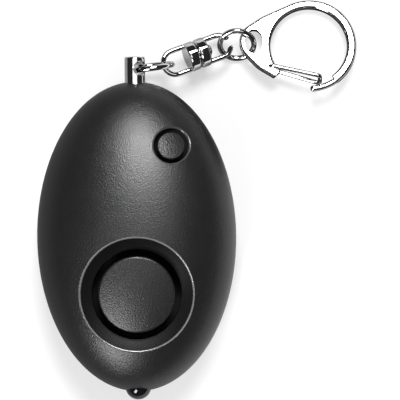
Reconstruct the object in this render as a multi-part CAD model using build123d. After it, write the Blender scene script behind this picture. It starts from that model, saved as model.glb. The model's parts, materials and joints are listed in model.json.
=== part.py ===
from build123d import *
import os

# Personal safety alarm, in millimetres. It lies on its back: +Z comes out of the front
# face, +Y runs to the pull pin, and the origin is the centre of the flat rest face.
# Lengths are drawn from the parting plane of the two shells and lifted at export.

# Egg-shaped housing
body_width = 38.6
body_length = 60.0
front_height = 12.0
rear_height = 10.4
parting_height = 10.0
wall = 1.5
seam_depth = 0.18
seam_width = 0.22
tongue_width = 0.7
tongue_height = 0.8
fit_gap = 0.05
lip_round = 0.35
quarter_turn = 90
half = 0.5
core_share = 0.35
seam_turn = -20

# Sounder in the front
sounder_y = -11.05
sounder_hole_radius = 10.75
dish_inner_radius = 8.7
bowl_radius_x = 36.0
bowl_radius_y = 31.0
bowl_radius_z = 60.0
bowl_tilt = 8.0
bowl_floor = 6.05
collar_wall = 1.0
flange_low = 2.6
flange_high = 3.6
flange_radius = 11.4
spider_low = 2.6
spider_high = 3.5
spider_rib = 1.6
hub_radius = 2.6
cap_radius = 7.37
cap_sink = 0.12
cap_wall = 1.1
cap_base = 6.6
cap_post_radius = 1.9
cap_stem_radius = 1.0
cap_round = 0.4

# Piezo disc and its ring
piezo_radius = 10.0
piezo_thickness = 0.2
ceramic_radius = 7.0
piezo_ring_radius = 11.2
piezo_ring_bore = 8.8
piezo_ledge = 2.1

# Circuit board
board_low = 0.1
board_high = 1.1
board_margin_x = 2.3
board_margin_y = 2.6
board_clearance = 0.1
pin_slot_width = 6.8
pin_slot_overlap = 0.7
led_slot_width = 6.4
led_slot_overlap = 1.1

# Push button for the lamp
button_x = 6.9
button_y = 17.4
button_radius = 2.65
button_hole_radius = 3.35
button_sink = 0.45
button_round = 0.25
button_step = 6.4
button_collar_radius = 4.3
button_collar_low = 5.0
button_flange_radius = 3.15
button_flange_high = 4.9
button_low = 4.0
plunger_radius = 1.25
plunger_low = 2.2
switch_size = 6.0
switch_high = 3.0
switch_bore_low = 1.6

# Screws, driven from the back
screw_spots = [(12.2, 9.0), (-12.2, 9.0), (10.8, -19.2), (-10.8, -19.2)]
screw_radius = 1.0
screw_seat = -2.6
screw_tip = 3.4
screw_tip_room = 0.3
screw_head_radius = 1.8
screw_head_height = 1.4
screw_well_radius = 2.1
screw_well_wall = 0.9
screw_floor = 1.2
boss_radius = 2.0
screw_clearance = 1.15
slot_width = 0.5
slot_length = 2.2
slot_depth = 0.8

# Pull pin and its guide
pin_head_radius = 2.0
pin_hole_radius = 2.15
pin_proud = 4.8
pin_head_sink = 1.8
pin_stem_radius = 1.5
pin_depth = 10.8
pin_round = 0.35
pin_tip_round = 0.8
pin_groove_setback = 3.4
pin_groove_depth = 0.3
pin_groove_width = 1.2
guide_radius = 3.2
guide_setback = 5.0
eye_setback = 2.3
eye_radius = 1.25
eye_chamfer = 0.25
eye_turn = 37.0

# Lamp at the bottom end
led_radius = 2.5
led_proud = 1.6
led_flange_radius = 2.9
led_depth = 7.0
led_flange_thickness = 1.0
led_rib_thickness = 1.1
lead_radius = 0.25
lead_spread = 1.27
lead_drop = 0.5
lead_bend = 0.3
lead_straight = 0.4
lead_run = 2.65
lead_top = 1.5

# Cells in series, lying flat in a row
cell_radius = 5.8
cell_height = 5.4
cell_pitch = 12.2
cell_top = -0.2
cell_cap_radius = 4.6
cell_cap_height = 0.5
cell_round = 0.35
pocket_gap = 0.15
holder_wall = 0.7
holder_floor = 0.5
strap_thickness = 0.2
strap_width = 5.0
strap_reach = 2.6
tab_width = 2.0
tab_top = 1.4
floor_rib_x = 4.2
floor_rib_width = 1.0
floor_rib_length = 26.0

# Pin switch
block_width = 6.4
block_length = 4.2
block_high = 3.2
block_setback = 3.6
leaf_width = 3.6
leaf_thickness = 0.15
leaf_low = 1.55
leaf_overlap = 3.2
prong_width = 0.8
prong_overlap = 2.8
prong_x = 2.1

# Parts on the circuit board
chip_width = 3.9
chip_length = 4.9
chip_height = 1.4
chip_x = -3.5
chip_y = 5.6
leg_width = 0.4
leg_pitch = 1.27
leg_reach = 1.0
leg_height = 0.5
leg_shares = (-1.5, -0.5, 0.5, 1.5)
transistor_width = 2.9
transistor_length = 1.5
transistor_height = 1.0
transistor_x = 3.4
transistor_y = 4.4
coil_radius = 2.8
coil_height = 4.0
coil_core_radius = 2.1
coil_flange = 0.7
coil_x = -8.0
coil_y = 15.2
capacitor_radius = 2.0
capacitor_height = 4.2
capacitor_round = 0.25
capacitor_x = 8.2
capacitor_y = 5.4
piezo_lead_radius = 0.15
piezo_lead_bend = 0.18
ceramic_lead_x = 4.0
ceramic_pad_x = 6.5
plate_lead_x = -8.0
plate_pad_x = -5.0

# Ring through the pull pin
ring_wire = 0.55
ring_radius = 4.0
ring_play = 0.08
ring_drop = -0.25
ring_rise = 8.8

# Swivel of two eyes on a rivet
swivel_wire = 0.5
swivel_half = 7.5
swivel_loop = 2.35
swivel_collar_radius = 2.85
swivel_collar_length = 2.05
swivel_collar_round = 0.45
swivel_gap = 0.08
swivel_turn = 20.0
swivel_tilt = 13.3
swivel_roll = -18.0
swivel_link_turn = 5.4
swivel_link_gap = 0.2
swivel_side_step = 0.35
rivet_radius = 0.95
rivet_head_radius = 1.25
rivet_head_height = 0.95

# Connector ring
link_wire = 0.525
link_radius = 3.325
link_x = 19.9
link_ahead = 2.4
link_z = -7.3
link_tilt = 38.0
link_seam_turn = 112.0
link_seam = 0.12

# Snap hook and its wire gate
hook_x = 34.1
hook_ahead = 1.9
hook_z = -7.05
hook_tilt = -12.0
hook_inner_x = -0.2
hook_inner_radius = 7.5
hook_outer_radius = 9.1
hook_thickness = 2.0
hook_round = 0.55
hook_eye_x = -10.9
hook_eye_y = 0.9
hook_eye_half_x = 1.85
hook_eye_half_y = 2.5
hook_eye_rim = 0.95
hook_cheek_x = -6.4
hook_cheek_y = 0.45
hook_cheek_radius = 6.1
nose_wire = 0.6
nose_start = -54.0
nose_end = -86.0
heel_turn = -139.0
gate_wire = 0.42
gate_pivot_x = -7.7
gate_pivot_y = -4.1
gate_end_x = 1.9
gate_upper_y = -6.2
gate_lower_y = -7.2
gate_over = 0.12
gate_end_height = 1.1
gate_tail = 0.15
gate_bend = 0.55

# Places that follow the two ends of the housing
body_end = body_length * half
pin_top = body_end + pin_proud
pin_shoulder = body_end - pin_head_sink
pin_stem_end = body_end - pin_depth
pin_groove_y = pin_stem_end + pin_groove_setback
guide_end = pin_stem_end + guide_setback
eye_y = pin_top - eye_setback
pin_slot_y = pin_stem_end - pin_slot_overlap
block_y = pin_stem_end - block_setback
leaf_reach = pin_stem_end + leaf_overlap
prong_reach = pin_stem_end + prong_overlap
led_tip = -body_end - led_proud
led_flange_y = led_depth - body_end
led_slot_y = led_flange_y + led_slot_overlap
lead_near_y = led_flange_y + lead_straight
lead_far_y = lead_near_y + lead_drop
lead_rise_y = lead_far_y + lead_run
link_y = pin_top + link_ahead
hook_y = pin_top + hook_ahead

lift = Pos(Z=parting_height)
on_y = Rotation(X=quarter_turn) * Rotation(Z=-quarter_turn)
on_x = Rotation(Y=quarter_turn)
above = (Align.CENTER, Align.CENTER, Align.MIN)
below = (Align.CENTER, Align.CENTER, Align.MAX)
beyond = (Align.CENTER, Align.MIN, Align.CENTER)
before = (Align.CENTER, Align.MAX, Align.CENTER)
far = 2 * body_length


def save(shape, name):
    export_step(lift * shape, f"parts/{name}.step")


def drum(radius, low, high, x=0, y=0):
    return Pos(x, y, low) * Cylinder(radius, high - low, align=above)


def tube(outer, inner, low, high, x=0, y=0):
    return drum(outer, low, high, x, y) - drum(inner, low, high, x, y)


def slab(size_x, size_y, low, high, x=0, y=0):
    return Pos(x, y, low) * Box(size_x, size_y, high - low, align=above)


def rod(radius, start, end):
    return Pos(Y=start) * on_y * Cylinder(radius, end - start, align=below)


def egg(height, inset=0, turn=on_y):
    radii = (body_width * half - inset, body_length * half - inset, height - inset)
    return scale(turn * Sphere(1), by=radii)


def oval(inset, low, high):
    outline = Ellipse(body_width * half - inset, body_length * half - inset)
    return Pos(Z=low) * extrude(outline, high - low)


def round_edges(shape, radius, x, y, low, high):
    found = []
    for edge in shape.edges():
        box = edge.bounding_box()
        fits = abs(box.size.X - 2 * radius) < fit_gap and abs(box.size.Y - 2 * radius) < fit_gap
        centred = abs(box.center().X - x) < fit_gap and abs(box.center().Y - y) < fit_gap
        if fits and centred and low < box.max.Z < high:
            found.append(edge)
    return found


def wire_along(points, radius, bend):
    path = FilletPolyline(*points, radius=bend)
    return sweep(Plane(path @ 0, z_dir=path % 0) * Circle(radius), path=path)


def wedge(*turns):
    corners = [Vector(far, 0).rotate(Axis.Z, turn) for turn in turns]
    return Pos(Z=-far) * extrude(make_face(Polyline((0, 0), *corners, close=True)), 2 * far)


os.makedirs("parts", exist_ok=True)

# Spaces shared by the two shells
front_dome = egg(front_height) & slab(far, far, 0, far)
guide = rod(guide_radius, guide_end, body_end)
pin_bore = rod(pin_hole_radius, pin_shoulder - fit_gap, far)
stem_bore = rod(pin_stem_radius + fit_gap, pin_stem_end, pin_shoulder)
led_bore = rod(led_radius + fit_gap, -far, led_flange_y)
rib_end = led_flange_y - led_flange_thickness - fit_gap
led_rib = Pos(Y=rib_end - led_rib_thickness * half) * Box(far, led_rib_thickness, far)
seam_band = oval(-wall, -seam_width * half, seam_width * half)
seam_band -= oval(seam_depth, -seam_width * half, seam_width * half)
openings = [pin_bore, stem_bore, led_bore, seam_band]

# Front shell
front_shell = front_dome - egg(front_height, wall)
sounder_collar = drum(sounder_hole_radius + collar_wall, flange_high, far, 0, sounder_y)
button_collar = drum(button_collar_radius, button_collar_low, far, button_x, button_y)
bosses = [drum(boss_radius, board_high, far, x, y) for x, y in screw_spots]
front_core = egg(front_height, wall * core_share) & slab(far, far, 0, far)
for piece in [sounder_collar, button_collar, guide, led_rib, *bosses]:
    front_shell += piece & front_core
front_shell -= oval(wall - tongue_width - fit_gap, 0, tongue_height + fit_gap) - oval(2 * wall, 0, far)
front_shell -= drum(sounder_hole_radius, 0, far, 0, sounder_y)
front_shell -= drum(button_hole_radius, button_step, far, button_x, button_y)
front_shell -= drum(button_radius + fit_gap, 0, far, button_x, button_y)
for x, y in screw_spots:
    front_shell -= drum(screw_radius + fit_gap, 0, screw_tip + screw_tip_room, x, y)
front_shell -= openings
lips = round_edges(front_shell, sounder_hole_radius, 0, sounder_y, flange_high + wall, far)
lips += round_edges(front_shell, button_hole_radius, button_x, button_y, button_step + half, far)
front_shell = fillet(lips, lip_round)
save(front_shell, "front_shell")

# Rear shell with wells for the screws and ribs under the cell holder, drawn face up
holder_low = cell_top - cell_height - strap_thickness - holder_floor
well_low = -screw_seat - screw_floor
upright = Rotation(Z=seam_turn)
back_core = egg(rear_height, wall * core_share, upright)
back_core &= slab(far, far, 0, parting_height - wall * core_share)
rear_shell = egg(rear_height, 0, upright) & slab(far, far, 0, parting_height)
rear_shell -= (egg(rear_height, wall, upright) & slab(far, far, -far, parting_height - wall))
rib_spots = (-floor_rib_x, floor_rib_x)
floor_ribs = [slab(floor_rib_width, floor_rib_length, -holder_low, far, x) for x in rib_spots]
wells = [drum(screw_well_radius + screw_well_wall, well_low, far, x, y) for x, y in screw_spots]
posts = [drum(boss_radius, 0, far, x, y) for x, y in screw_spots]
for piece in [guide, led_rib, *floor_ribs, *wells, *posts]:
    rear_shell += piece & back_core
for x, y in screw_spots:
    rear_shell -= drum(screw_well_radius, -screw_seat, far, x, y)
    rear_shell -= drum(screw_radius + fit_gap, 0, far, x, y)
rear_shell -= openings
rear_shell = Rotation(Y=2 * quarter_turn) * rear_shell
tongue = oval(wall - tongue_width, 0, tongue_height) - oval(wall, 0, tongue_height)
rear_shell += tongue - openings
rear_shell += [tube(boss_radius, screw_radius + fit_gap, 0, board_low, x, y) for x, y in screw_spots]
save(rear_shell, "rear_shell")

# Four screws
screws = []
for x, y in screw_spots:
    screw = drum(screw_head_radius, screw_seat - screw_head_height, screw_seat, x, y)
    screw = fillet(screw.edges().sort_by(Axis.Z)[0], cell_round)
    screw += drum(screw_radius, screw_seat, screw_tip, x, y)
    slot_low = screw_seat - screw_head_height
    screw -= slab(slot_width, slot_length, slot_low, slot_low + slot_depth, x, y)
    screw -= slab(slot_length, slot_width, slot_low, slot_low + slot_depth, x, y)
    screws.append(screw)
save(Compound(children=screws), "shell_screws")

# Sounder bezel: the dish follows the dome and falls to the groove round the cap
bowl = Pos(Z=bowl_radius_z) * scale(Sphere(1), by=(bowl_radius_x, bowl_radius_y, bowl_radius_z))
bowl = Pos(0, sounder_y, bowl_floor) * Rotation(X=bowl_tilt) * bowl
bezel = drum(sounder_hole_radius - fit_gap, flange_low, front_height, 0, sounder_y) - bowl
bezel += drum(flange_radius, flange_low, flange_high - fit_gap, 0, sounder_y)
bezel -= drum(dish_inner_radius, 0, far, 0, sounder_y)
spider = drum(hub_radius, spider_low, spider_high)
spider += slab(2 * dish_inner_radius + spider_rib, spider_rib, spider_low, spider_high)
spider += slab(spider_rib, 2 * dish_inner_radius + spider_rib, spider_low, spider_high)
spider -= drum(cap_stem_radius, spider_low, spider_high)
bezel += Pos(Y=sounder_y) * spider
save(bezel, "sounder_bezel")

# Cap in the middle of the sounder
cap = drum(cap_radius, cap_base, far, 0, sounder_y) & egg(front_height, cap_sink)
cap = fillet(cap.edges().sort_by(Axis.Z)[-1], cap_round)
cap -= drum(cap_radius - cap_wall, 0, far, 0, sounder_y) & egg(front_height, cap_sink + cap_wall)
cap += drum(cap_post_radius, spider_high, front_height - wall, 0, sounder_y)
cap += drum(cap_stem_radius, spider_low, spider_high, 0, sounder_y)
save(cap, "sounder_cap")

# Piezo disc, its ceramic and the ring that holds them under the bezel
plate_high = piezo_ledge + piezo_thickness
piezo_ring = tube(piezo_ring_radius, piezo_ring_bore, board_high, flange_low, 0, sounder_y)
piezo_ring -= drum(piezo_radius + fit_gap, piezo_ledge, flange_low, 0, sounder_y)
save(piezo_ring, "piezo_ring")
save(drum(piezo_radius, piezo_ledge, plate_high, 0, sounder_y), "piezo_plate")
ceramic_low = piezo_ledge - piezo_thickness
save(drum(ceramic_radius, ceramic_low, piezo_ledge, 0, sounder_y), "piezo_ceramic")

# Leads from the ceramic and the plate down to the board
lead_level = (board_high + ceramic_low) * half
from_ceramic = (ceramic_lead_x, ceramic_pad_x, ceramic_low)
from_plate = (plate_lead_x, plate_pad_x, piezo_ledge)
piezo_leads = []
for x, pad_x, top in (from_ceramic, from_plate):
    route = [(x, sounder_y, top), (x, sounder_y, lead_level)]
    route += [(pad_x, sounder_y, lead_level), (pad_x, sounder_y, board_high)]
    piezo_leads.append(wire_along(route, piezo_lead_radius, piezo_lead_bend))
save(Compound(children=piezo_leads), "piezo_leads")

# Button, switch plunger and switch
button = drum(button_radius, button_low, far, button_x, button_y) & egg(front_height, button_sink)
button = fillet(button.edges().sort_by(Axis.Z)[-1], button_round)
button += drum(button_flange_radius, button_low, button_flange_high, button_x, button_y)
save(button, "light_button")
save(drum(plunger_radius, plunger_low, button_low, button_x, button_y), "switch_plunger")
switch = slab(switch_size, switch_size, board_high, switch_high, button_x, button_y)
switch -= drum(plunger_radius + fit_gap, switch_bore_low, switch_high, button_x, button_y)
save(switch, "switch_body")

# Pull pin: head with a cross hole for the ring, stem with a catch groove
pin = fillet(rod(pin_head_radius, pin_shoulder, pin_top).edges().sort_by(Axis.Y)[-1], pin_round)
stem = fillet(rod(pin_stem_radius, pin_stem_end, pin_shoulder).edges().sort_by(Axis.Y)[0], pin_tip_round)
groove = rod(pin_stem_radius, pin_groove_y, pin_groove_y + pin_groove_width)
groove -= rod(pin_stem_radius - pin_groove_depth, pin_groove_y, pin_groove_y + pin_groove_width)
eye_axis = Pos(Y=eye_y) * Rotation(Y=eye_turn)
eye_tool = eye_axis * Cylinder(eye_radius, 2 * pin_top)
pin -= eye_tool
eye_edges = [edge for edge in pin.edges() if edge.geom_type in (GeomType.BSPLINE, GeomType.OTHER)]
pin = chamfer(eye_edges, eye_chamfer) + (stem - groove)
save(pin, "pull_pin")

# Circuit board with slots for the pin guide and the lamp
board_outline = Ellipse(body_width * half - board_margin_x, body_end - board_margin_y)
board_cut_y = led_flange_y - led_flange_thickness + board_clearance
board = Pos(Z=board_low) * extrude(board_outline, board_high - board_low)
board -= Pos(Y=pin_slot_y) * Box(pin_slot_width, far, far, align=beyond)
board -= Pos(Y=led_slot_y) * Box(led_slot_width, far, far, align=before)
board -= Pos(Y=board_cut_y) * Box(far, far, far, align=before)
for x, y in screw_spots:
    board -= drum(screw_clearance, 0, far, x, y)
board -= [drum(lead_radius + fit_gap, 0, far, x, lead_rise_y) for x in (-lead_spread, lead_spread)]

# Cells, with the positive cap turned up or down by turns
cell_low = cell_top - cell_height
cell = drum(cell_cap_radius, cell_top - cell_cap_height, cell_top)
cell += fillet(drum(cell_radius, cell_low, cell_top - cell_cap_height).edges(), cell_round)
over = Pos(Z=cell_low + cell_top) * Rotation(X=2 * quarter_turn)
cell_spots = [-cell_pitch, 0, cell_pitch]
for index, y in enumerate(cell_spots):
    turned = cell if index % 2 else over * cell
    save(Pos(Y=y) * turned, f"button_cell_{index + 1}")

# Straps that join the cells in series, with tabs up to the board
strap_low = cell_low - strap_thickness
strap_high = cell_top + strap_thickness
link_length = cell_pitch + 2 * strap_reach
link_low = slab(strap_width, link_length, strap_low, cell_low, 0, -cell_pitch * half)
link_high = slab(strap_width, link_length, cell_top, strap_high, 0, cell_pitch * half)
plus_y = strap_reach - cell_pitch
plus = slab(strap_width, 2 * strap_reach, cell_top, strap_high, 0, -cell_pitch)
plus_tab = slab(tab_width, strap_thickness, cell_top, tab_top, 0, plus_y)
minus_x = -cell_radius - pocket_gap - strap_thickness
minus_middle = (minus_x + strap_reach) * half
minus = slab(strap_reach - minus_x, 2 * strap_reach, strap_low, cell_low, minus_middle, cell_pitch)
minus_tab = slab(strap_thickness, tab_width, strap_low, tab_top, minus_x, cell_pitch)
save(link_low, "cell_link_low")
save(link_high, "cell_link_high")
save(plus + plus_tab, "battery_contact_plus")
save(minus + minus_tab, "battery_contact_minus")
tab_long = tab_width + 2 * fit_gap
tab_thin = strap_thickness + 2 * fit_gap
tab_holes = [slab(tab_long, tab_thin, 0, far, 0, plus_y)]
tab_holes += [slab(tab_thin, tab_long, strap_low, far, minus_x, cell_pitch)]
board -= tab_holes
save(board, "circuit_board")

# Holder for the cells
pocket = cell_radius + pocket_gap
holder = slab(2 * (pocket + holder_wall), 2 * cell_pitch, holder_low, cell_top)
for y in (-cell_pitch, cell_pitch):
    holder += drum(pocket + holder_wall, holder_low, cell_top, 0, y)
for y in cell_spots:
    holder -= drum(pocket, strap_low, cell_top, 0, y)
holder -= slab(strap_width + 2 * fit_gap, link_length, strap_low, cell_low + fit_gap, 0, -cell_pitch * half)
holder -= slab(strap_width, strap_reach, cell_low, cell_top, 0, -cell_pitch * half)
holder -= slab(strap_width, strap_reach, cell_low, cell_top, 0, cell_pitch * half)
holder -= minus
holder -= tab_holes
save(holder, "cell_holder")

# Lamp and its leads, which go under the board and up through it
dome_y = led_tip + led_radius
lens = rod(led_radius, dome_y, led_flange_y) + Pos(Y=dome_y) * Sphere(led_radius)
lens += rod(led_flange_radius, led_flange_y - led_flange_thickness, led_flange_y)
save(lens, "lamp_lens")
leads = []
for x in (-lead_spread, lead_spread):
    route = [(x, led_flange_y, 0), (x, lead_near_y, 0), (x, lead_far_y, -lead_drop)]
    route += [(x, lead_rise_y, -lead_drop), (x, lead_rise_y, lead_top)]
    leads.append(wire_along(route, lead_radius, lead_bend))
save(Compound(children=leads), "lamp_leads")

# Switch that the pull pin holds open: a leaf over two prongs
block = slab(block_width, block_length, board_high, block_high, 0, block_y)
leaf_high = leaf_low + leaf_thickness
leaf = slab(leaf_width, leaf_reach - block_y, leaf_low, leaf_high, 0, (leaf_reach + block_y) * half)
root_y = block_y + block_length * half - prong_width
prong_y = (prong_reach + root_y) * half
prong_high = board_high + leaf_thickness
prongs = slab(2 * prong_x + prong_width, prong_width, board_high, prong_high, 0, root_y)
for x in (-prong_x, prong_x):
    prongs += slab(prong_width, prong_reach - root_y, board_high, prong_high, x, prong_y)
block -= [leaf, prongs]
save(block, "pin_contact_block")
save(leaf, "pin_contact_spring")
save(prongs, "pin_contact_fixed")

# Chip, transistor, coil and capacitor on the board
chip = slab(chip_width, chip_length, board_high + leg_height * half, board_high + chip_height, chip_x, chip_y)
leg_span = chip_width + 2 * leg_reach
for share in leg_shares:
    leg_y = chip_y + share * leg_pitch
    leg = slab(leg_span, leg_width, board_high, board_high + leg_height, chip_x, leg_y)
    leg -= slab(chip_width, leg_width, board_high, board_high + leg_height * half, chip_x, leg_y)
    chip += leg
save(chip, "alarm_chip")
transistor_place = Pos(transistor_x, transistor_y)
transistor = slab(transistor_width, transistor_length, board_high, board_high + transistor_height)
for x, side in [(-leg_pitch * half, -1), (leg_pitch * half, -1), (0, 1)]:
    leg_y = side * transistor_length * half
    transistor += slab(leg_width, leg_reach, board_high, board_high + leg_height, x, leg_y)
save(transistor_place * transistor, "driver_transistor")
coil_high = board_high + coil_height
coil = drum(coil_core_radius, board_high, coil_high, coil_x, coil_y)
coil += drum(coil_radius, board_high, board_high + coil_flange, coil_x, coil_y)
coil += drum(coil_radius, coil_high - coil_flange, coil_high, coil_x, coil_y)
save(coil, "boost_coil")
capacitor = drum(capacitor_radius, board_high, board_high + capacitor_height, capacitor_x, capacitor_y)
capacitor = fillet(capacitor.edges().sort_by(Axis.Z)[-1], capacitor_round)
save(capacitor, "capacitor")

# Ring through the pull pin, in the plane of the cross hole and the line to its centre
eye_dir = Vector(0, 0, 1).rotate(Axis.Y, eye_turn)
eye_line = Axis(origin=(0, 0, 0), direction=eye_dir)
ring_dir = Vector(1, 0, 0).rotate(Axis.Y, eye_turn).rotate(eye_line, ring_rise)
ring_start = Vector(0, eye_y + ring_drop, 0) + ring_dir * ring_play
ring_centre = ring_start + ring_dir * ring_radius
ring_plane = Plane(origin=ring_centre, x_dir=ring_dir, z_dir=ring_dir.cross(eye_dir))
save(ring_plane.location * Torus(ring_radius, ring_wire), "pin_ring")

# Swivel: the tip of its near eye runs round the ring's wire
ring_axis = Axis(origin=(0, 0, 0), direction=ring_plane.z_dir)
swivel_frame = Rotation(Z=swivel_turn) * Rotation(Y=swivel_tilt)
link_dir = ring_dir.rotate(ring_axis, swivel_link_turn)
crossing = ring_centre + link_dir * (ring_radius - ring_wire - swivel_wire - swivel_link_gap)
tip_local = Vector(swivel_half - swivel_wire, -swivel_side_step, 0)
swivel_centre = crossing + (swivel_frame * Pos(tip_local)).position
swivel_place = Pos(swivel_centre) * swivel_frame
bar_start = swivel_half - swivel_wire - swivel_loop
collar_end = swivel_collar_length + swivel_gap
upper_end = (-bar_start, swivel_loop, 0)
lower_end = (-bar_start, -swivel_loop, 0)
loop_arc = ThreePointArc(upper_end, (-bar_start - swivel_loop, 0, 0), lower_end)
upper_bar = Line((-collar_end, swivel_loop, 0), upper_end)
lower_bar = Line(lower_end, (-collar_end, -swivel_loop, 0))
loop_path = Wire([upper_bar, loop_arc, lower_bar])
loop = sweep(Plane(loop_path @ 0, z_dir=loop_path % 0) * Circle(swivel_wire), path=loop_path)
eye_collar = Pos(X=-collar_end) * on_x * Cylinder(swivel_collar_radius, swivel_collar_length, align=above)
eye_collar = fillet(eye_collar.edges().filter_by(GeomType.CIRCLE), swivel_collar_round)
eye = loop + eye_collar
shaft = Pos(X=-collar_end) * on_x * Cylinder(rivet_radius, 2 * collar_end, align=above)
near_eye = eye - shaft
far_eye = Rotation(Z=2 * quarter_turn) * eye
far_eye -= on_x * Cylinder(rivet_radius + fit_gap, far)
save(swivel_place * near_eye, "swivel_near_eye")
save(swivel_place * Rotation(X=swivel_roll) * far_eye, "swivel_far_eye")
head_ball = scale(Sphere(1), by=(rivet_head_height, rivet_head_radius, rivet_head_radius))
head = head_ball & Box(far, far, far, align=(Align.MIN, Align.CENTER, Align.CENTER))
shaft += Pos(X=collar_end) * on_x * Cylinder(rivet_radius, swivel_gap, align=above)
rivet = shaft + Pos(X=collar_end + swivel_gap) * head
save(swivel_place * rivet, "swivel_rivet")

# Connector ring with its butt seam
seam_cut = Rotation(Z=link_seam_turn) * Pos(X=link_radius) * Box(4 * link_wire, link_seam, 4 * link_wire)
connector = Torus(link_radius, link_wire) - seam_cut
save(Pos(link_x, link_y, link_z) * Rotation(X=link_tilt) * connector, "connector_ring")

# Snap hook: a flat plate round the eye and the big opening, with a thin nose
hook_place = Pos(hook_x, hook_y, hook_z) * Rotation(X=hook_tilt)
eye_spot = Pos(hook_eye_x, hook_eye_y)
eye_rim = eye_spot * Ellipse(hook_eye_half_x + hook_eye_rim, hook_eye_half_y + hook_eye_rim)
cheek = Pos(hook_cheek_x, hook_cheek_y) * Circle(hook_cheek_radius)
outline = make_hull((Circle(hook_outer_radius) + eye_rim + cheek).edges())
plate = Pos(Z=-hook_thickness * half) * extrude(outline, hook_thickness)
plate = fillet(plate.edges(), hook_round)
opening = drum(hook_inner_radius, -hook_thickness, hook_thickness, hook_inner_x)
plate -= opening
inner_edges = round_edges(plate, hook_inner_radius, hook_inner_x, 0, -hook_thickness, hook_thickness)
plate = fillet(inner_edges, hook_round)
plate -= extrude(eye_spot * Ellipse(hook_eye_half_x, hook_eye_half_y), hook_thickness, both=True)
nose_radius = hook_outer_radius - nose_wire
nose = Torus(nose_radius, nose_wire) & wedge(nose_end, nose_start)
nose += Rotation(Z=nose_end) * Pos(X=nose_radius) * Sphere(nose_wire)
plate = (plate - wedge(heel_turn, nose_end, nose_start)) + nose
plate -= Pos(gate_pivot_x, gate_pivot_y) * Cylinder(gate_wire + fit_gap, far)
save(hook_place * plate, "snap_hook")

# Wire gate, bent over both faces of the hook
gate_high = hook_thickness * half + gate_wire + gate_over
gate_route = [(gate_pivot_x, gate_pivot_y, gate_tail), (gate_pivot_x, gate_pivot_y, gate_high)]
gate_route += [(gate_end_x, gate_upper_y, gate_end_height), (gate_end_x, gate_lower_y, -gate_end_height)]
gate_route += [(gate_pivot_x, gate_pivot_y, -gate_high), (gate_pivot_x, gate_pivot_y, -gate_tail)]
save(hook_place * wire_along(gate_route, gate_wire, gate_bend), "hook_gate")
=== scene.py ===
import bpy
import json
import math
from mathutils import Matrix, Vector


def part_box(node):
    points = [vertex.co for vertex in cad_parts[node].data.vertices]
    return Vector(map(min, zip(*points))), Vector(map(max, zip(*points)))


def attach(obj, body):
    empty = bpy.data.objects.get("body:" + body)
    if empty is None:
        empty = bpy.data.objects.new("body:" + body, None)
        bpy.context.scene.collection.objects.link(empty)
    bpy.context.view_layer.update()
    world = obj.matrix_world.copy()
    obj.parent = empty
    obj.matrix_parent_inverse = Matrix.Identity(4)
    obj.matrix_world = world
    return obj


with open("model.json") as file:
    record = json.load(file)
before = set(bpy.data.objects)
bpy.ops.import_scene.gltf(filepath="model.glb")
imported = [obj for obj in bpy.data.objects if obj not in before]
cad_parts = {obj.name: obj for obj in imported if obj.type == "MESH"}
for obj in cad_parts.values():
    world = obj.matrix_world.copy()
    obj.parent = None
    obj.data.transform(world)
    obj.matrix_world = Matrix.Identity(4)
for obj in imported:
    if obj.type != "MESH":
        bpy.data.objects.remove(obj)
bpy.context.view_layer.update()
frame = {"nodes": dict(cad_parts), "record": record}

nodes = frame["nodes"]
MM = 0.001
WHITE = (1.0, 1.0, 1.0, 1.0)

# The photograph looks straight down on the object, which lies turned a little in it
PHOTO_CENTRE = Vector((12.35, 6.92, 10.0)) * MM
PHOTO_WIDTH = 77.54 * MM
PHOTO_ROLL = math.radians(0.65)
CAMERA_HEIGHT = 0.9
SENSOR = 36.0


def fill(tree, node, inputs):
    """Sets inputs of a node, each to a plain value or to an output of another node."""
    for key, value in inputs.items():
        if isinstance(value, bpy.types.NodeSocket):
            tree.links.new(value, node.inputs[key])
        else:
            node.inputs[key].default_value = value


def add(tree, kind, output, inputs=None, **settings):
    """Adds a shader node and returns one of its outputs."""
    node = tree.nodes.new("ShaderNode" + kind)
    for key, value in settings.items():
        setattr(node, key, value)
    fill(tree, node, inputs or {})
    return node.outputs[output]


def stretch(tree, value, source, target):
    """Maps a value from one range to another and holds it at the ends."""
    inputs = {"Value": value, "From Min": source[0], "From Max": source[1]}
    inputs.update({"To Min": target[0], "To Max": target[1]})
    return add(tree, "MapRange", "Result", inputs)


def place(name, data):
    """Puts a new object with this mesh, light or camera into the scene."""
    obj = bpy.data.objects.new(name, data)
    bpy.context.scene.collection.objects.link(obj)
    return obj


# Finishes: blobs vary the colour and the dullness, and the grain is a bump; sizes in millimetres
BLOB_SIZE = 2.5
BLOB_DETAIL = 6.0
GRAIN_DETAIL = 2.0
GRAIN_HEIGHT_SHARE = 0.25
NOISE_RANGE = (0.3, 0.7)


def cloud(tree, size, detail, where):
    """Noise whose blobs are about size millimetres wide."""
    inputs = {"Scale": 1 / (size * MM), "Detail": detail, "Vector": where}
    return add(tree, "TexNoise", "Fac", inputs)


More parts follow.
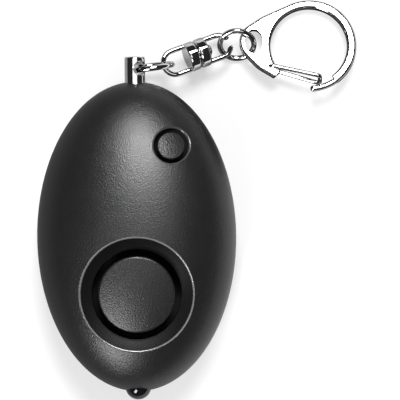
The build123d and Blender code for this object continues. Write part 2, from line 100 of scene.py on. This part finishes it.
def material(name, colour, rough, metal=0.0, specular=0.5, coat=0.0,
             grain=0.0, grain_size=0.3, vary=0.05, rough_vary=0.06):
    """A finish whose colour and dullness vary a little, with a fine grain in the surface."""
    mat = bpy.data.materials.new(name)
    mat.use_nodes = True
    tree = mat.node_tree
    where = add(tree, "TexCoord", "Object")
    blobs = cloud(tree, BLOB_SIZE, BLOB_DETAIL, where)
    darker = (*[c * (1 - vary) for c in colour], 1)
    lighter = (*[min(1.0, c * (1 + vary)) for c in colour], 1)
    dullness = (rough * (1 - rough_vary), rough * (1 + rough_vary))
    mixed = {"Factor": blobs, "A": darker, "B": lighter}
    inputs = {
        "Metallic": metal,
        "Specular IOR Level": specular,
        "Coat Weight": coat,
        "Base Color": add(tree, "Mix", "Result", mixed, data_type="RGBA"),
        "Roughness": stretch(tree, blobs, NOISE_RANGE, dullness),
    }
    if grain:
        height = cloud(tree, grain_size, GRAIN_DETAIL, where)
        distance = grain_size * MM * GRAIN_HEIGHT_SHARE
        bump = {"Strength": grain, "Distance": distance, "Height": height}
        inputs["Normal"] = add(tree, "Bump", "Normal", bump)
    fill(tree, tree.nodes["Principled BSDF"], inputs)
    return mat


MOULDED_BLACK = dict(
    colour=(0.012, 0.012, 0.0124), rough=0.32, specular=0.7, grain=1.0, grain_size=0.26,
)
MOULD_POLISH = dict(rough=0.22, coat=1.0, grain=0.1, grain_size=0.5)
BRIGHT_METAL = dict(metal=1.0, vary=0.02, rough_vary=0.3)
looks = {
    "shell_plastic": MOULDED_BLACK,
    "button_plastic": MOULDED_BLACK,
    # The hole edges are the black plastic made lighter: painted highlights, brighter round the
    # sounder and fainter round the button
    "lip_painted_highlight": dict(colour=(0.18, 0.18, 0.182), **MOULD_POLISH),
    "button_lip_painted_highlight": dict(colour=(0.06, 0.06, 0.061), **MOULD_POLISH),
    # The bezel's dish is the black plastic made darker and less reflective: painted shade
    "dish_painted_shade": dict(
        colour=(0.006, 0.006, 0.0063), rough=0.45, specular=0.15, grain=0.6, grain_size=0.3,
    ),
    # Near-black matt that paints the shade in the grooves round the cap and the button
    "painted_shade_black": dict(
        colour=(0.005, 0.005, 0.005), rough=0.9, specular=0.2, grain=0.5, grain_size=0.15,
    ),
    "lamp_clear": dict(
        colour=(0.006, 0.006, 0.008), rough=0.06, coat=0.5, grain=0.03, grain_size=1.5,
    ),
    "chain_chrome": dict(
        colour=(0.92, 0.92, 0.93), rough=0.045, grain=0.05, grain_size=1.4, **BRIGHT_METAL,
    ),
    "gate_steel": dict(
        colour=(0.58, 0.58, 0.59), rough=0.11, grain=0.03, grain_size=0.9, **BRIGHT_METAL,
    ),
    "screw_steel": dict(
        colour=(0.2, 0.2, 0.21), rough=0.32, metal=1.0, grain=0.3, grain_size=0.2,
    ),
    "inner_plastic": dict(colour=(0.03, 0.03, 0.032), rough=0.5, grain=0.3),
    "board_green": dict(
        colour=(0.015, 0.12, 0.045), rough=0.35, grain=0.2, grain_size=0.5, vary=0.12,
    ),
    "piezo_brass": dict(
        colour=(0.72, 0.5, 0.2), rough=0.3, metal=1.0, grain=0.2, grain_size=0.15,
    ),
    "piezo_white": dict(colour=(0.75, 0.73, 0.68), rough=0.6, grain=0.3, grain_size=0.1),
    "plunger_plastic": dict(colour=(0.4, 0.03, 0.02), rough=0.4, grain=0.2),
    "coil_ferrite": dict(colour=(0.03, 0.028, 0.028), rough=0.6, grain=0.5, grain_size=0.15),
    "chip_black": dict(colour=(0.018, 0.018, 0.018), rough=0.55, grain=0.4, grain_size=0.12),
    "capacitor_can": dict(
        colour=(0.6, 0.6, 0.62), rough=0.3, metal=1.0, grain=0.15, grain_size=0.2,
    ),
    "lead_tin": dict(
        colour=(0.65, 0.65, 0.66), rough=0.25, metal=1.0, grain=0.2, grain_size=0.3,
    ),
    "lead_wire": dict(colour=(0.45, 0.02, 0.015), rough=0.35, grain=0.1),
    "spring_metal": dict(
        colour=(0.66, 0.63, 0.56), rough=0.22, metal=1.0, grain=0.15, grain_size=0.3,
    ),
    "cell_steel": dict(
        colour=(0.62, 0.62, 0.63), rough=0.24, metal=1.0, grain=0.2, grain_size=0.25,
    ),
}
finishes = {name: material(name, **look) for name, look in looks.items()}

# Every node has its slot's finish, but the bezel is duller than the shell, and its darker colour
# and weaker reflection are painted shade
slots = {row["node"]: row["material_slot"] for row in frame["record"]["subparts"]}
for name, obj in nodes.items():
    finish = "dish_painted_shade" if name == "sounder_bezel" else slots[name]
    obj.data.materials.clear()
    obj.data.materials.append(finishes[finish])

# The groove round the button is matt black as painted shade, and the rounded edges of both holes
# take glossier, lighter copies of the black plastic as painted highlights
LIP = 0.37 * MM
SOUNDER_HOLE = 10.76 * MM
BUTTON_HOLE = 3.36 * MM
BUTTON_STEP = 2.6 * MM
RIM_LEVEL_SHARE = 0.6
LEAST_UPWARD = -0.05


def ring_finish(node, around, inner, outer, above, finish):
    """Gives a finish to the faces of a node between two radii round another node's middle."""
    low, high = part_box(around)
    mesh = nodes[node].data
    mesh.materials.append(finishes[finish])
    for face in mesh.polygons:
        offset = face.center - (low + high) / 2
        in_ring = inner < math.hypot(offset.x, offset.y) < outer
        if in_ring and face.center.z > above and face.normal.z > LEAST_UPWARD:
            face.material_index = len(mesh.materials) - 1


shell_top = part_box("front_shell")[1].z
rim_level = shell_top * RIM_LEVEL_SHARE
sounder_lip = SOUNDER_HOLE + LIP
button_lip = BUTTON_HOLE + LIP
# The step round the button is near-black matt: painted shade in the gap
ring_finish("front_shell", "light_button", BUTTON_STEP, BUTTON_HOLE, rim_level, "painted_shade_black")
ring_finish("front_shell", "sounder_cap", SOUNDER_HOLE, sounder_lip, rim_level, "lip_painted_highlight")
ring_finish("front_shell", "light_button", BUTTON_HOLE, button_lip, rim_level, "button_lip_painted_highlight")

# A black ring in the groove round the cap, over the spokes, paints the shade of the deep groove
PAINTED_SHADE_RING_OUTER = 8.68 * MM
PAINTED_SHADE_RING_INNER = 1.92 * MM
PAINTED_SHADE_RING_BOTTOM = 13.52 * MM
PAINTED_SHADE_RING_THICKNESS = 0.15 * MM
RING_STEPS = 96


def flat_ring(name, middle, inner, outer, bottom, thickness):
    """A mesh of a flat ring with square edges."""
    top = bottom + thickness
    section = [(inner, bottom), (outer, bottom), (outer, top), (inner, top)]
    points = []
    faces = []
    for row, (radius, height) in enumerate(section):
        here = row * RING_STEPS
        there = (row + 1) % len(section) * RING_STEPS
        for step in range(RING_STEPS):
            angle = 2 * math.pi * step / RING_STEPS
            x = middle.x + radius * math.cos(angle)
            y = middle.y + radius * math.sin(angle)
            following = (step + 1) % RING_STEPS
            points.append((x, y, height))
            faces.append((here + step, there + step, there + following, here + following))
    mesh = bpy.data.meshes.new(name)
    mesh.from_pydata(points, [], faces)
    return mesh


cap_low, cap_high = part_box("sounder_cap")
cap_middle = (cap_low + cap_high) / 2
painted_shade_ring_mesh = flat_ring(
    "painted_shade_black", cap_middle, PAINTED_SHADE_RING_INNER, PAINTED_SHADE_RING_OUTER, PAINTED_SHADE_RING_BOTTOM, PAINTED_SHADE_RING_THICKNESS,
)
painted_shade_ring_mesh.materials.append(finishes["painted_shade_black"])
painted_shade_ring = place("painted_shade_black", painted_shade_ring_mesh)
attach(painted_shade_ring, "housing")

# Floor: white to the camera; to other rays darker on the left and darkest under the chrome, which
# paints a darker reflection on the left edges and painted dark outlines on the chrome
# Painted reflections: a dark patch under the chrome and a darker left side, seen by other rays only
PAINTED_REFLECTION_PATCH_MIDDLE = Vector((33.0, 38.0, 0.0)) * MM
PAINTED_REFLECTION_PATCH_EDGE = (17 * MM, 27 * MM)
PAINTED_REFLECTION_PATCH_TONES = (0.05, 1.0)
PAINTED_REFLECTION_SIDE_EDGE = (-20 * MM, 20 * MM)
PAINTED_REFLECTION_SIDE_TONES = (0.2, 0.6)
GLOW_SHARE = 0.55
REACH = 0.9


def paper_with_painted_reflections():
    """White to the camera, partly by its own glow; to other rays a dark patch and a darker left
    side paint reflections, with painted dark outlines on the chrome.
    """
    mat = bpy.data.materials.new("paper")
    mat.use_nodes = True
    tree = mat.node_tree
    tree.nodes.remove(tree.nodes["Principled BSDF"])
    position = add(tree, "NewGeometry", "Position")
    # The dark patch, seen only in reflections, paints dark outlines on the chrome
    ends = {0: position, 1: PAINTED_REFLECTION_PATCH_MIDDLE}
    from_painted_patch = add(tree, "VectorMath", "Value", ends, operation="DISTANCE")
    painted_patch = stretch(tree, from_painted_patch, PAINTED_REFLECTION_PATCH_EDGE, PAINTED_REFLECTION_PATCH_TONES)
    # Darker to the left, seen only in reflections: a painted darker reflection
    x = add(tree, "SeparateXYZ", "X", {0: position})
    painted_side = stretch(tree, x, PAINTED_REFLECTION_SIDE_EDGE, PAINTED_REFLECTION_SIDE_TONES)
    painted_reflection_tone = add(tree, "Math", 0, {0: painted_patch, 1: painted_side}, operation="MULTIPLY")
    seen = add(tree, "LightPath", "Is Camera Ray")
    tones = {"Factor": seen, "A": painted_reflection_tone, "B": WHITE}
    matt = add(tree, "BsdfDiffuse", "BSDF", {
        "Color": add(tree, "Mix", "Result", tones, data_type="RGBA"),
    })
    glow = add(tree, "Emission", "Emission")
    glow_share = add(tree, "Math", 0, {0: seen, 1: GLOW_SHARE}, operation="MULTIPLY")
    surface = add(tree, "MixShader", "Shader", {"Fac": glow_share, 1: matt, 2: glow})
    fill(tree, tree.nodes["Material Output"], {"Surface": surface})
    return mat


corners = [(-REACH, -REACH, 0), (REACH, -REACH, 0), (REACH, REACH, 0), (-REACH, REACH, 0)]
floor_mesh = bpy.data.meshes.new("floor")
floor_mesh.from_pydata(corners, [], [(0, 1, 2, 3)])
floor_mesh.materials.append(paper_with_painted_reflections())
floor = place("floor", floor_mesh)

# Lights: a wide panel overhead, one soft light above the upper end and one above the lower left
WORLD_STRENGTH = 0.02


def softbox(name, direction, distance, width, depth, radiance):
    """A soft light that faces the object; radiance is how bright a mirror would show it."""
    light = bpy.data.lights.new(name, "AREA")
    light.shape = "RECTANGLE"
    light.size = width
    light.size_y = depth
    light.energy = radiance * math.pi * width * depth
    obj = place(name, light)
    toward = Vector(direction).normalized()
    obj.location = PHOTO_CENTRE + toward * distance
    obj.rotation_euler = toward.to_track_quat("Z", "Y").to_euler()


softbox(
    "panel", direction=(0.0, 0.0, 1.0), distance=1.3, width=1.2, depth=0.5, radiance=1.1,
)
softbox(
    "top_light", direction=(0.07, 0.56, 0.83), distance=1.25, width=0.48, depth=0.44, radiance=24.5,
)
softbox(
    "low_light", direction=(-0.36, -0.66, 0.63), distance=1.3, width=0.38, depth=0.7, radiance=13.0,
)
world = bpy.data.worlds.new("studio")
world.use_nodes = True
fill(world.node_tree, world.node_tree.nodes["Background"], {
    "Color": WHITE,
    "Strength": WORLD_STRENGTH,
})
bpy.context.scene.world = world

# Camera
camera_data = bpy.data.cameras.new("camera")
camera_data.sensor_width = SENSOR
camera_data.lens = SENSOR * CAMERA_HEIGHT / PHOTO_WIDTH
camera = place("camera", camera_data)
camera.location = PHOTO_CENTRE + Vector((0, 0, CAMERA_HEIGHT))
camera.rotation_euler = (0, 0, -PHOTO_ROLL)
bpy.context.scene.camera = camera
bpy.context.scene.view_settings.view_transform = "Standard"
